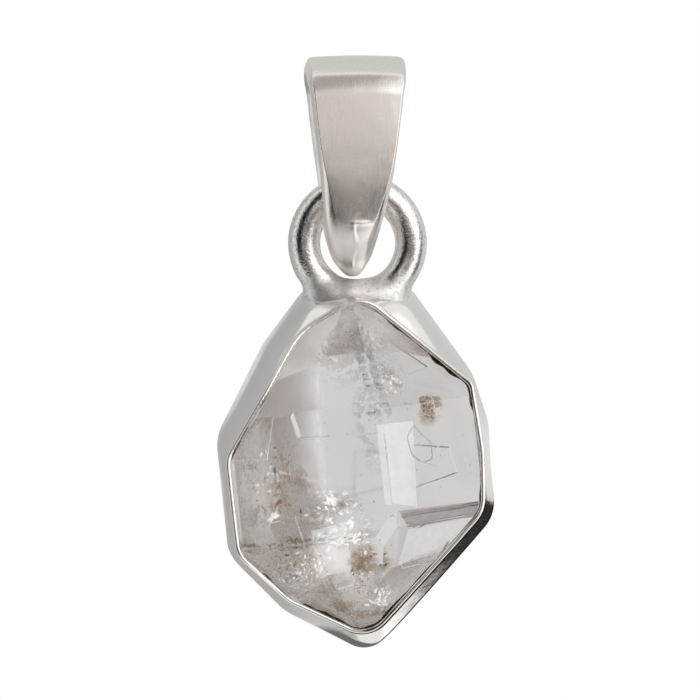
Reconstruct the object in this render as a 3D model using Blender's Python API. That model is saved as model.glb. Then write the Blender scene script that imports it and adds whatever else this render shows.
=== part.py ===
"""A silver pendant with a clear double-ended quartz crystal, lying on its back.

Sizes are in millimetres and are turned into metres where a mesh is made. X runs across
the pendant, Y towards the bail and Z out of its face. The crystal is cut by its face
planes. The wall of the setting is a loft between its foot and its rim, the ring is a
turned wire with its solder, and the bail is a strip carried round a pear-shaped loop.
"""

from math import cos, pi, radians, sin, tan

import bmesh
import bpy
import numpy as np
from mathutils import Matrix, Vector

MM = 0.001
GAP = 0.05

# The crystal. Its long axis leans a little to the left. Each side face has its
# azimuth (0 faces out of the pendant, 90 to the right), its distance from the axis,
# and the heights at which the upper and lower end faces start.
CRYSTAL_CENTRE = (0.045, -5.105, 4.30)
CRYSTAL_LEAN = 6.3
END_FACE_TILT = 51.8
SIDE_FACES = {
    "front_right": (37.0, 3.80, 2.72, -2.30),
    "front_left": (-23.0, 3.22, 2.78, -2.85),
    "right": (97.0, 5.13, 3.25, -2.10),
    "left": (-83.0, 5.60, 1.45, -3.20),
    "back_right": (157.0, 3.40, 3.75, -2.80),
    "back_left": (217.0, 3.37, 3.45, -3.85),
}
# End faces that lie at another angle than the rest.
OTHER_TILTS = {"lower_right": 44.0, "upper_right": 46.0}
# Narrow extra faces at the lower end of the front ridge: azimuth, angle between the
# face's normal and the axis, height and distance of a point on the face.
LOWER_BEVELS = (
    (37.0, 70.0, -2.05, 3.80),
    (7.0, 65.6, -2.00, 3.98),
)
# Growth ledges: the face they lie on, depth, corners as (across, along the axis).
# Their sides slope, by so much across for each millimetre of depth.
LEDGE_SLOPE = 1.2
LEDGES = (
    ("front_left", 0.13, ((-2.65, 1.78), (1.30, 1.64), (1.60, 3.50), (-3.00, 3.60))),
    ("front_left", 0.05, ((-6.2, 1.1), (-4.05, 0.95), (-3.45, 3.3), (-6.2, 3.6))),
    ("front_left", 0.06, ((-5.9, -2.05), (-3.1, -1.65), (-2.75, -3.3), (-6.1, -3.4))),
    ("front_right", 0.05, ((2.55, 1.35), (3.55, 1.0), (3.35, -0.15), (2.25, 0.35))),
    ("lower_front_left", 0.09, ((-2.25, -3.45), (-0.75, -3.3), (-0.55, -5.0), (-1.75, -5.2))),
    ("lower_front_left", 0.06, ((-4.9, -3.9), (-3.4, -3.75), (-2.75, -5.1), (-3.6, -5.6))),
    ("lower_front_right", 0.06, ((1.15, -3.9), (3.6, -3.55), (3.0, -4.35), (1.35, -4.5))),
    ("upper_front_right", 0.05, ((0.95, 4.9), (2.6, 4.0), (3.5, 4.2), (1.9, 5.6))),
    ("upper_front_left", 0.05, ((-0.75, 5.9), (-0.35, 5.75), (-0.45, 5.35), (-0.8, 5.5))),
    ("back_right", 0.08, ((0.6, -1.2), (3.4, -0.7), (3.1, 0.5), (0.9, 0.8))),
    ("back_left", 0.08, ((-3.4, -1.7), (-1.2, -2.1), (-1.0, -0.4), (-3.0, 0.3))),
)

# The setting. Corners are (x, y, fillet radius), clockwise from the top.
RIM_CORNERS = (
    (0.164, 2.774, 1.47),
    (5.093, -1.233, 0.67),
    (5.599, -4.277, 4.5),
    (5.614, -6.933, 1.55),
    (0.488, -12.739, 1.42),
    (-3.179, -11.005, 2.66),
    (-5.450, -8.884, 1.33),
    (-5.947, -4.545, 1.33),
    (-2.668, 1.095, 3.55),
)
FOOT_CORNERS = (
    (2.377, 3.049, 1.33),
    (5.153, -0.800, 2.20),
    (5.938, -3.084, 3.00),
    (6.075, -7.160, 1.78),
    (0.589, -13.508, 1.11),
    (-3.216, -11.570, 2.66),
    (-5.629, -9.101, 1.60),
    (-6.186, -3.865, 2.20),
    (-4.087, 0.322, 2.60),
    (-2.228, 2.786, 0.80),
)
SETTING_CENTRE = (0.0, -5.2)
SHEET = 0.40
LIP_WIDTH = 0.22
RIM_OVER_CRYSTAL = 0.10
RIM_RANGE = (4.25, 5.35)
SEAT_WIDTH = 0.55
SEAT_TOP = 3.70
# Height up the wall and how far it has leant from foot to rim there.
WALL_SHAPE = ((0.0, 0.0), (0.30, 0.04), (0.55, 0.14), (0.78, 0.34), (0.92, 0.62))

# The soldered ring.
RING_CENTRE = (0.04, 4.88, 2.66)
RING_RADIUS = 2.375
RING_WIRE = 1.42
SOLDER_CENTRE = (0.00, 2.44, 2.45)
SOLDER_SIZE = (4.9, 1.50, 2.8)

# The bail. Its strip drifts to the left on the way down. The side line gives half its
# depth at a height along Y: a sloping band at the top, a flat face, then the long leg.
BAIL_X = -0.08
BAIL_DRIFT = 0.16
BAIL_TOP = 13.14
BAIL_TIP = 3.46
BAIL_AXIS_Z = 2.68
BAIL_HALF_DEPTH = 2.60
BAIL_BAND = (12.40, 2.28)
BAIL_FACE = (11.80, 10.39)
BAIL_WAIST = (5.40, 2.08)
BAIL_SHEET = 0.50
BAIL_WIDTH_TOP = 4.45
BAIL_WIDTH_TIP = 0.90
SHOULDER_TOP = 0.18
SHOULDER_LOW = 0.60
BAIL_CROWN = 0.06

ROUND_STEPS = 112


def clear_scene():
    for item in list(bpy.data.objects):
        bpy.data.objects.remove(item, do_unlink=True)


def new_collection(name, hidden=False):
    made = bpy.data.collections.new(name)
    bpy.context.scene.collection.children.link(made)
    made.hide_render = hidden
    return made


def material(name, colour, metallic, roughness, transmission=0.0, ior=1.5):
    made = bpy.data.materials.new(name)
    made.use_nodes = True
    shader = made.node_tree.nodes["Principled BSDF"]
    shader.inputs["Base Color"].default_value = (*colour, 1.0)
    shader.inputs["Metallic"].default_value = metallic
    shader.inputs["Roughness"].default_value = roughness
    shader.inputs["Transmission Weight"].default_value = transmission
    shader.inputs["IOR"].default_value = ior
    return made


def mesh_object(name, points, faces, collection, finish=None, smooth=False):
    """An object from points in millimetres and its faces."""
    mesh = bpy.data.meshes.new(name)
    mesh.from_pydata([Vector(point) * MM for point in points], [], faces)
    work = bmesh.new()
    work.from_mesh(mesh)
    bmesh.ops.recalc_face_normals(work, faces=work.faces)
    work.to_mesh(mesh)
    work.free()
    for face in mesh.polygons:
        face.use_smooth = smooth
    made = bpy.data.objects.new(name, mesh)
    if finish:
        mesh.materials.append(finish)
    collection.objects.link(made)
    return made


def as_cutter(item):
    item.hide_render = True
    item.display_type = "WIRE"
    return item


def boolean(item, other, operation):
    """Applies an exact Boolean to the object and leaves a plain mesh."""
    modifier = item.modifiers.new(operation.title(), "BOOLEAN")
    modifier.operation = operation
    modifier.solver = "EXACT"
    modifier.object = other
    graph = bpy.context.evaluated_depsgraph_get()
    mesh = bpy.data.meshes.new_from_object(item.evaluated_get(graph))
    item.modifiers.remove(modifier)
    old = item.data
    item.data = mesh
    mesh.name = item.name
    bpy.data.meshes.remove(old)


def azimuth_normal(azimuth):
    """The outward direction of a side face, in the crystal's own axes."""
    turn = radians(azimuth)
    return np.array((sin(turn), 0.0, cos(turn)))


def crystal_planes(grow=0.0):
    """Every face of the crystal by name: its normal and distance from the centre."""
    found = {}
    for name, (azimuth, distance, upper, lower) in SIDE_FACES.items():
        side = azimuth_normal(azimuth)
        found[name] = (side, distance + grow)
        for prefix, height in (("upper_", upper), ("lower_", lower)):
            tilt = radians(OTHER_TILTS.get(prefix + name, END_FACE_TILT))
            flat, steep = cos(tilt), sin(tilt)
            end = np.array((0.0, 1.0 if height > 0 else -1.0, 0.0))
            reach = flat * abs(height) + steep * distance
            found[prefix + name] = (flat * end + steep * side, reach + grow)
    for number, (azimuth, tilt, height, distance) in enumerate(LOWER_BEVELS):
        side = azimuth_normal(azimuth)
        flat, steep = cos(radians(tilt)), sin(radians(tilt))
        normal = flat * np.array((0.0, -1.0, 0.0)) + steep * side
        found[f"bevel_{number}"] = (normal, -flat * height + steep * distance + grow)
    return found


def place_crystal(item):
    item.location = Vector(CRYSTAL_CENTRE) * MM
    item.rotation_euler.z = radians(CRYSTAL_LEAN)


def cut_by_planes(name, planes, collection, finish=None):
    """A large cube cut down by one plane after another, each cut closed by a flat face."""
    work = bmesh.new()
    bmesh.ops.create_cube(work, size=40.0)
    for normal, distance in planes.values():
        cut = bmesh.ops.bisect_plane(
            work,
            geom=work.verts[:] + work.edges[:] + work.faces[:],
            plane_co=Vector(normal * distance),
            plane_no=Vector(normal),
            clear_outer=True,
        )
        edges = [part for part in cut["geom_cut"] if isinstance(part, bmesh.types.BMEdge)]
        if edges:
            bmesh.ops.holes_fill(work, edges=edges)
    bmesh.ops.recalc_face_normals(work, faces=work.faces)
    bmesh.ops.scale(work, vec=(MM, MM, MM), verts=work.verts)
    mesh = bpy.data.meshes.new(name)
    work.to_mesh(mesh)
    work.free()
    made = bpy.data.objects.new(name, mesh)
    if finish:
        mesh.materials.append(finish)
    collection.objects.link(made)
    place_crystal(made)
    return made


def ledge_cutter(number, planes, face, depth, corners, collection):
    """A prism with sloping sides that reaches a depth below a face, over the given corners."""
    normal, distance = planes[face]
    outline = []
    for across, along in corners:
        height = (distance - normal[0] * across - normal[1] * along) / normal[2]
        outline.append(Vector((across, along, height)))
    out = Vector(normal)
    centre = sum(outline, Vector()) / len(outline)
    spread = [(point - centre).normalized() * LEDGE_SLOPE for point in outline]
    low = [point - (out + side) * depth for point, side in zip(outline, spread)]
    high = [point + (out + side) * 0.6 for point, side in zip(outline, spread)]
    count = len(corners)
    sides = [(i, (i + 1) % count, count + (i + 1) % count, count + i) for i in range(count)]
    faces = [tuple(range(count)), tuple(range(count, 2 * count))] + sides
    made = mesh_object(f"ledge_{number}", low + high, faces, collection)
    place_crystal(made)
    return as_cutter(made)


def face_height(x, y, front):
    """Height of the crystal's front or back surface over each point of the pendant."""
    turn = radians(CRYSTAL_LEAN)
    east, north = x - CRYSTAL_CENTRE[0], y - CRYSTAL_CENTRE[1]
    across = cos(turn) * east + sin(turn) * north
    along = -sin(turn) * east + cos(turn) * north
    heights = []
    for normal, distance in crystal_planes().values():
        if (normal[2] > 0.02) == front and abs(normal[2]) > 0.02:
            heights.append((distance - normal[0] * across - normal[1] * along) / normal[2])
    chosen = np.min(heights, axis=0) if front else np.max(heights, axis=0)
    return chosen + CRYSTAL_CENTRE[2]


def rounded_outline(corners, steps=14):
    """A closed line through filleted corners, dense enough to be read at any angle."""
    arcs = []
    count = len(corners)
    for i, (x, y, radius) in enumerate(corners):
        here = Vector((x, y))
        back = (Vector(corners[i - 1][:2]) - here).normalized()
        ahead = (Vector(corners[(i + 1) % count][:2]) - here).normalized()
        half = back.angle(ahead) / 2
        middle = here + (back + ahead).normalized() * (radius / sin(half))
        start = here + back * (radius / tan(half)) - middle
        end = here + ahead * (radius / tan(half)) - middle
        shares = [step / steps for step in range(steps + 1)]
        arcs.append([middle + (start * (1 - s) + end * s).normalized() * radius for s in shares])
    line = []
    for i, arc in enumerate(arcs):
        gap = arcs[(i + 1) % count][0] - arc[-1]
        line += arc + [arc[-1] + gap * (step / 40) for step in range(1, 40)]
    return np.array(line)


def stations(corners):
    """The outline's point on each of the evenly turned rays from the setting's middle."""
    line = rounded_outline(corners)
    east, north = line[:, 0] - SETTING_CENTRE[0], line[:, 1] - SETTING_CENTRE[1]
    angle = np.unwrap(np.arctan2(east, north))
    order = np.argsort(angle)
    reach = np.hypot(east, north)
    rays = np.arange(ROUND_STEPS) * 2 * pi / ROUND_STEPS
    radius = np.interp(rays, angle[order], reach[order], period=2 * pi)
    return np.stack((
        SETTING_CENTRE[0] + radius * np.sin(rays),
        SETTING_CENTRE[1] + radius * np.cos(rays),
    ), axis=1)


def inset(line, width):
    """The closed line moved inwards by a width along its own normals."""
    along = np.roll(line, -1, axis=0) - np.roll(line, 1, axis=0)
    along /= np.hypot(along[:, 0], along[:, 1])[:, None]
    inward = np.stack((along[:, 1], -along[:, 0]), axis=1)
    return line + inward * width


def smoothed(values, passes):
    for _ in range(passes):
        values = (np.roll(values, 1) + 2 * values + np.roll(values, -1)) / 4
    return values


def rim_heights(rim):
    """The rim's height: it follows the crystal's front surface, in a smooth line."""
    held = inset(rim, 0.45)
    under = face_height(held[:, 0], held[:, 1], True)
    return smoothed(np.clip(under, *RIM_RANGE), 40) + RIM_OVER_CRYSTAL


def wall_level(foot, rim, lean, move_in):
    """The wall's outline at one height, moved inwards by a width."""
    return inset(foot * (1 - lean) + rim * lean, move_in)


def lofted_rings(rings):
    """Points and faces of a tube through closed rings, which closes on itself."""
    count = len(rings[0])
    points = [tuple(point) for ring in rings for point in ring]
    faces = []
    for level in range(len(rings)):
        after = (level + 1) % len(rings)
        for i in range(count):
            j = (i + 1) % count
            faces.append((level * count + i, level * count + j, after * count + j, after * count + i))
    return points, faces


def at_height(line, height):
    return np.column_stack((line, np.broadcast_to(height, len(line))))


def build_wall(foot, rim, tops, collection, finish):
    """The thin wall, its top bent in over the crystal and its inner side parallel."""
    rings = []
    for share, lean in WALL_SHAPE:
        rings.append(at_height(wall_level(foot, rim, lean, 0.0), tops * share))
    rings.append(at_height(rim, tops - 0.05))
    rings.append(at_height(inset(rim, 0.06), tops))
    rings.append(at_height(inset(rim, LIP_WIDTH - 0.04), tops - 0.01))
    rings.append(at_height(inset(rim, LIP_WIDTH), tops - 0.06))
    thick = (SHEET, SHEET, 0.38, 0.35, 0.32)
    for (share, lean), width in reversed(list(zip(WALL_SHAPE, thick))):
        rings.append(at_height(wall_level(foot, rim, lean, width), tops * share))
    points, faces = lofted_rings(rings)
    return mesh_object("bezel_wall", points, faces, collection, finish, smooth=True)


def build_seat(foot, rim, tops, collection, finish):
    """The inner strip that stands inside the wall and carries the crystal's back."""
    outer = wall_level(foot, rim, 0.0, SHEET + GAP)
    middle = inset(outer, SEAT_WIDTH * 0.55)
    under = face_height(middle[:, 0], middle[:, 1], False)
    heights = smoothed(np.minimum(under, SEAT_TOP), 12)
    shares = (0.0, 0.3, 0.55, 0.75, 1.0)
    rings = []
    for share in shares:
        rings.append(at_height(seat_level(foot, rim, tops, heights * share, 0.0), heights * share))
    for share in reversed(shares):
        level = seat_level(foot, rim, tops, heights * share, SEAT_WIDTH)
        rings.append(at_height(level, heights * share))
    points, faces = lofted_rings(rings)
    return mesh_object("seat_ledge", points, faces, collection, finish, smooth=True)


def seat_level(foot, rim, tops, heights, move_in):
    """The seat's outline at a height: just inside the wall, or a width further in."""
    share = heights / tops
    lean = np.interp(share, *np.array(WALL_SHAPE).T)[:, None]
    return inset(foot * (1 - lean) + rim * lean, SHEET + GAP + move_in)


def wall_plug(foot, rim, tops, collection):
    """A solid block as large as the wall's outer side, with a small gap round it."""
    rings = [at_height(wall_level(foot, rim, 0.0, -GAP), -3.0)]
    for share, lean in WALL_SHAPE[1:]:
        rings.append(at_height(wall_level(foot, rim, lean, -GAP), tops * share))
    rings.append(at_height(inset(rim, -GAP), tops + 0.4))
    rings.append(at_height(rim, np.full(len(rim), 12.0)))
    count = len(rim)
    points, faces = lofted_rings(rings)
    faces = faces[:-count]
    last = (len(rings) - 1) * count
    faces += [tuple(range(count)), tuple(range(last, last + count))]
    return as_cutter(mesh_object("wall_plug", points, faces, collection))


def build_ring(plug, collection, cutters, finish):
    """The round wire ring and its solder, ending just short of the wall."""
    bpy.ops.mesh.primitive_torus_add(
        major_radius=RING_RADIUS * MM,
        minor_radius=RING_WIRE / 2 * MM,
        major_segments=60,
        minor_segments=24,
        location=Vector(RING_CENTRE) * MM,
    )
    ring = bpy.context.object
    ring.name = "soldered_ring"
    ring.data.materials.append(finish)
    move_to(ring, collection)
    bpy.ops.mesh.primitive_uv_sphere_add(
        segments=36,
        ring_count=20,
        radius=0.5 * MM,
        location=Vector(SOLDER_CENTRE) * MM,
        scale=SOLDER_SIZE,
    )
    solder = bpy.context.object
    solder.name = "solder"
    move_to(solder, cutters)
    as_cutter(solder)
    bpy.context.view_layer.update()
    boolean(ring, solder, "UNION")
    boolean(ring, plug, "DIFFERENCE")
    for face in ring.data.polygons:
        face.use_smooth = True
    return ring


def move_to(item, collection):
    for owner in list(item.users_collection):
        owner.objects.unlink(item)
    collection.objects.link(item)


def bezier(start, first, second, end, steps):
    """Points of a cubic curve between two ends, without the last one."""
    share = np.linspace(0.0, 1.0, steps, endpoint=False)[:, None]
    left = 1 - share
    start, first, second, end = (np.array(p) for p in (start, first, second, end))
    return (
        left**3 * start
        + 3 * left**2 * share * first
        + 3 * left * share**2 * second
        + share**3 * end
    )


def bail_profile():
    """The outer side line of the bail as (y, z from its axis), once round from the top."""
    waist_y, waist = BAIL_WAIST
    band_y, band = BAIL_BAND
    face_top, face_foot = BAIL_FACE
    top = bezier((BAIL_TOP, 0.0), (BAIL_TOP, 1.25), (band_y + 0.40, band - 0.55), BAIL_BAND, 12)
    bend = bezier(
        BAIL_BAND,
        (band_y - 0.12, band + 0.165),
        (face_top + 0.26, BAIL_HALF_DEPTH),
        (face_top, BAIL_HALF_DEPTH),
        6,
    )
    leg = bezier(
        (face_foot, BAIL_HALF_DEPTH),
        (face_foot - 1.5, BAIL_HALF_DEPTH),
        (waist_y + 1.7, waist + 0.36),
        BAIL_WAIST,
        13,
    )
    low = bezier(
        BAIL_WAIST,
        (waist_y - 0.75, waist - 0.38),
        (BAIL_TIP, 1.15),
        (BAIL_TIP, 0.0),
        12,
    )
    front = np.concatenate((top, bend, leg, low))
    tip = np.array(((BAIL_TIP, 0.0),))
    back = front[:0:-1] * (1.0, -1.0)
    return np.concatenate((front, tip, back))


def build_bail(collection, finish):
    """A sheet strip, bevelled along both edges, carried round the side line."""
    line = bail_profile()
    along = np.roll(line, -1, axis=0) - np.roll(line, 1, axis=0)
    along /= np.hypot(along[:, 0], along[:, 1])[:, None]
    inward = np.stack((along[:, 1], -along[:, 0]), axis=1)
    if (inward[0] @ (1.0, 0.0)) > 0:
        inward = -inward
    height = (line[:, 0] - BAIL_TIP) / (BAIL_TOP - BAIL_TIP)
    half = (BAIL_WIDTH_TIP + (BAIL_WIDTH_TOP - BAIL_WIDTH_TIP) * height**0.54) / 2
    low = np.clip((9.5 - line[:, 0]) / 4.2, 0.0, 1.0) ** 1.6
    shoulder = np.minimum(SHOULDER_TOP + (SHOULDER_LOW - SHOULDER_TOP) * low, half * 0.55)
    drift = np.clip((8.2 - line[:, 0]) / 3.6, 0.0, 1.0)
    middle = BAIL_X - BAIL_DRIFT * drift**2 * (3 - 2 * drift)
    edge = 0.16
    section = (
        (-1.0, 0.0, BAIL_SHEET),
        (-1.0, 0.0, BAIL_SHEET - edge),
        (-1.0, 0.45, 0.12),
        (-1.0, 1.0, 0.0),
        (-0.45, 0.0, -BAIL_CROWN),
        (0.45, 0.0, -BAIL_CROWN),
        (1.0, -1.0, 0.0),
        (1.0, -0.45, 0.12),
        (1.0, 0.0, BAIL_SHEET - edge),
        (1.0, 0.0, BAIL_SHEET),
    )
    rings = []
    for side, bevels, depth in section:
        across = middle + side * half + bevels * shoulder
        sunk = line + inward * depth
        rings.append(np.column_stack((across, sunk[:, 0], sunk[:, 1] + BAIL_AXIS_Z)))
    points, faces = lofted_rings(rings)
    bail = mesh_object("bail", points, faces, collection, finish, smooth=True)
    pivot = Vector(hinge_point()) * MM
    bail.data.transform(Matrix.Translation(-pivot))
    bail.location = pivot
    return bail


def hinge_point():
    """The middle of the ring's wire where the bail hangs on it."""
    x, y, z = RING_CENTRE
    return (x, y + RING_RADIUS, z)


def corners_of(items):
    graph = bpy.context.evaluated_depsgraph_get()
    found = []
    for item in items:
        shape = item.evaluated_get(graph)
        found += [shape.matrix_world @ vertex.co for vertex in shape.data.vertices]
    return np.array(found)


def stand_on_origin(items):
    """Moves the whole pendant so that its box stands centred on the origin."""
    bpy.context.view_layer.update()
    points = corners_of(items)
    low, high = points.min(axis=0), points.max(axis=0)
    move = Vector((-(low[0] + high[0]) / 2, -(low[1] + high[1]) / 2, -low[2]))
    for item in items:
        item.location += move
    pivot = Vector(hinge_point()) * MM + move
    print("hinge point in mm:", [round(value / MM, 4) for value in pivot])
    print("moved by in mm:", [round(value / MM, 4) for value in move])


def main():
    clear_scene()
    pendant = new_collection("herkimer_pendant")
    cutters = new_collection("cutters", hidden=True)
    quartz = material("clear_quartz", (0.97, 0.975, 0.98), 0.0, 0.02, 1.0, 1.544)
    bright = material("bright_silver", (0.86, 0.85, 0.83), 1.0, 0.12)
    soft = material("satin_silver", (0.80, 0.79, 0.77), 1.0, 0.28)
    inner = material("seat_silver", (0.72, 0.71, 0.69), 1.0, 0.35)
    polished = material("polished_silver", (0.88, 0.88, 0.87), 1.0, 0.08)

    planes = crystal_planes()
    crystal = cut_by_planes("crystal", planes, pendant, quartz)
    bpy.context.view_layer.update()
    for number, (face, depth, corners) in enumerate(LEDGES):
        cutter = ledge_cutter(number, planes, face, depth, corners, cutters)
        bpy.context.view_layer.update()
        boolean(crystal, cutter, "DIFFERENCE")
    room = as_cutter(cut_by_planes("crystal_room", crystal_planes(GAP), cutters))
    bpy.context.view_layer.update()

    foot = stations(FOOT_CORNERS)
    rim = stations(RIM_CORNERS)
    tops = rim_heights(rim)
    wall = build_wall(foot, rim, tops, pendant, soft)
    seat = build_seat(foot, rim, tops, pendant, inner)
    plug = wall_plug(foot, rim, tops, cutters)
    bpy.context.view_layer.update()
    boolean(wall, room, "DIFFERENCE")
    boolean(seat, room, "DIFFERENCE")
    ring = build_ring(plug, pendant, cutters, polished)
    bail = build_bail(pendant, bright)
    stand_on_origin([crystal, wall, seat, ring, bail])


main()
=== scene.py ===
# %% [markdown]
# # A silver pendant with a double-ended quartz crystal
#
# The object is a small pendant, about 26 mm long. A clear natural quartz crystal with a
# point at both ends lies in a setting of thin silver sheet. A round ring is soldered to
# the top of the setting, and a tapered loop of silver strip, the bail, hangs the pendant
# on its chain. The lesson builds the fine version of each piece around a solid model
# that already has the right sizes, and then gives each one its finish.

# %% Load the solid model
from math import cos, pi, radians, sin

import bmesh
import bpy
import numpy as np
from mathutils import Matrix


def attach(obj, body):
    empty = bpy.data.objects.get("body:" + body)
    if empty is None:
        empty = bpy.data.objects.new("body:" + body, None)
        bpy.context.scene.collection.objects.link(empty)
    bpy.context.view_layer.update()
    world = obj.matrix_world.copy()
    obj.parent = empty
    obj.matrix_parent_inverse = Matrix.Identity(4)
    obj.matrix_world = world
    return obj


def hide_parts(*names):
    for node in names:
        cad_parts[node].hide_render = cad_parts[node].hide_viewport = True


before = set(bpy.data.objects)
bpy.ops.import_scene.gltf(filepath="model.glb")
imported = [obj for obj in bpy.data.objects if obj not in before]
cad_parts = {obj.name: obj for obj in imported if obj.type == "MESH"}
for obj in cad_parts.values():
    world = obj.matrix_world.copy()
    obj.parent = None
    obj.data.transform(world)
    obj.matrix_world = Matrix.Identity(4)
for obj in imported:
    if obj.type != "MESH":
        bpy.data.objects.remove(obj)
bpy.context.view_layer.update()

MM = 0.001
print("solid pieces:", sorted(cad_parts))

# %% [markdown]
# ## The camera
#
# The pendant lies on its back, and the picture looks almost straight down on it, from a
# little to the left and from a little towards the bail. A long lens far away keeps the
# sides parallel, as on a jeweller's picture. The three directions of the camera are
# worked out with cross products, because the same directions are needed again later to
# find which point inside the crystal is seen at a given place of the picture.

# %% Camera
SIDEWAYS, UPWARDS = 2.5, 2.0
LOOK_AT = np.array((-0.271, 0.149, 3.0))
DISTANCE = 350.0
FRAME_WIDTH = 31.08
PICTURE_SIZE = 700
SENSOR = 36.0


def unit(vectors):
    """The vectors, each brought to length one."""
    return vectors / np.linalg.norm(vectors, axis=-1, keepdims=True)


back = unit(np.array((
    -sin(radians(SIDEWAYS)),
    sin(radians(UPWARDS)),
    cos(radians(SIDEWAYS)) * cos(radians(UPWARDS)),
)))
right = unit(np.cross((0.0, 1.0, 0.0), back))
up = np.cross(back, right)
eye = LOOK_AT + back * DISTANCE

lens = bpy.data.cameras.new("studio_camera")
lens.sensor_width = SENSOR
lens.lens = SENSOR * DISTANCE / FRAME_WIDTH
lens.clip_start = 0.01
lens.clip_end = 20.0
camera = bpy.data.objects.new("studio_camera", lens)
rows = np.column_stack((right, up, back, eye * MM)).tolist()
camera.matrix_world = Matrix((*rows, (0.0, 0.0, 0.0, 1.0)))
bpy.context.scene.collection.objects.link(camera)
bpy.context.scene.camera = camera
bpy.context.scene.view_settings.view_transform = "Standard"
print("lens in mm:", round(lens.lens, 1))

# %% [markdown]
# Light that enters the crystal is thrown from face to face many times before it comes
# out, and between the crystal and the bright inside of its setting. If the renderer
# gave up after a few bounces, these places would turn black, so it may follow more.

# %% Light bounces
BOUNCES = 48
limits = bpy.context.scene.cycles
limits.max_bounces = limits.glossy_bounces = limits.transmission_bounces = BOUNCES
print("bounces followed:", BOUNCES)

# %% [markdown]
# ## Helpers that add shader nodes
#
# Every finish below is a small network of shader nodes. The first two helpers add one
# node, set its options and connect its inputs in one call: an input takes either a plain
# value or the output of another node. The others are short names for nodes that come up
# again and again: sums, soft steps, mixed colours and noise.

# %% Node helpers
def feed(tree, item, wires):
    """Each wire names an input and gives its value, or the output that it comes from."""
    for name, value in wires.items():
        if isinstance(value, bpy.types.NodeSocket):
            tree.links.new(value, item.inputs[name])
        else:
            item.inputs[name].default_value = value


def node(tree, kind, wires=None, **options):
    """Adds a node with its options and its inputs."""
    made = tree.nodes.new("ShaderNode" + kind)
    for name, value in options.items():
        setattr(made, name, value)
    feed(tree, made, wires or {})
    return made


def sums(tree, operation, first, second=0.5, third=0.5, clamp=False):
    """A Math node's output for one, two or three inputs."""
    wires = {0: first, 1: second, 2: third}
    return node(tree, "Math", wires, operation=operation, use_clamp=clamp).outputs[0]


def step_between(tree, value, low, high, to_low=0.0, to_high=1.0):
    """A smooth step: to_low below the first edge, to_high above the second one."""
    wires = {"Value": value, "From Min": low, "From Max": high, "To Min": to_low, "To Max": to_high}
    return node(tree, "MapRange", wires, interpolation_type="SMOOTHSTEP").outputs["Result"]


def times(tree, first, second):
    """A product."""
    return sums(tree, "MULTIPLY", first, second)


def plus(tree, first, second, clamp=False):
    """A sum, held between 0 and 1 where clamp is on."""
    return sums(tree, "ADD", first, second, clamp=clamp)


def length(tree, x, y):
    """Distance from the middle: the root of the sum of two squares."""
    return sums(tree, "SQRT", plus(tree, times(tree, x, x), times(tree, y, y)))


def mix(tree, share, first, second):
    """The first colour where the share is 0, the second where it is 1."""
    ends = [end if isinstance(end, bpy.types.NodeSocket) else (*end, 1.0) for end in (first, second)]
    wires = {"Factor": share, 6: ends[0], 7: ends[1]}
    return node(tree, "Mix", wires, data_type="RGBA").outputs[2]


def noise(tree, place, scale, detail, roughness):
    """The value of a noise texture at a place."""
    wires = {"Vector": place, "Scale": scale, "Detail": detail, "Roughness": roughness}
    return node(tree, "TexNoise", wires).outputs["Fac"]


def object_place(tree):
    """Where a point lies on its object, in metres."""
    return node(tree, "TexCoord").outputs["Object"]


def marked(tree, label):
    """A value that was written on the mesh under this label."""
    return node(tree, "Attribute", attribute_name=label).outputs["Fac"]


def new_finish(name):
    """A new material, its node tree and its Principled shader."""
    made = bpy.data.materials.new(name)
    made.use_nodes = True
    return made, made.node_tree, made.node_tree.nodes["Principled BSDF"]


print("node helpers ready")

# %% [markdown]
# ## The studio
#
# Polished silver has almost no look of its own: it shows the room. A jeweller's picture
# is taken in a white tent with a few dark gaps, and these gaps draw the dark bands on
# the ring and along the lower edge of the setting. Real lamps and black cards could
# stand round the pendant, but they would get in the way when it is seen from the side.
# So the tent is painted on the sky instead, as soft panels in chosen directions.
#
# A direction has two angles here: how far it is from straight up, and its bearing,
# counted from the right of the picture towards the bail.

# %% Sky with soft panels
world = bpy.data.worlds.new("studio")
world.use_nodes = True
bpy.context.scene.world = world
sky = world.node_tree
sky.nodes.clear()
toward = node(sky, "SeparateXYZ", {0: node(sky, "TexCoord").outputs["Generated"]})
from_top = times(sky, sums(sky, "ARCCOSINE", toward.outputs["Z"]), 180 / pi)


def panel(tree, before, bearing, half_width, top, bottom, level, soft):
    """Paints one panel over the sky: a band between two angles from straight up, round a bearing."""
    turn = radians(bearing)
    x, y = toward.outputs["X"], toward.outputs["Y"]
    along = plus(tree, times(tree, x, cos(turn)), times(tree, y, sin(turn)))
    across = sums(tree, "SUBTRACT", times(tree, y, cos(turn)), times(tree, x, sin(turn)))
    aside = sums(tree, "ABSOLUTE", sums(tree, "ARCTAN2", across, along))
    inside = step_between(tree, aside, radians(half_width + soft), radians(half_width - soft))
    above = step_between(tree, from_top, top - soft, top + soft)
    below = step_between(tree, from_top, bottom + soft, bottom - soft)
    return mix(tree, times(tree, inside, times(tree, above, below)), before, level)


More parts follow.
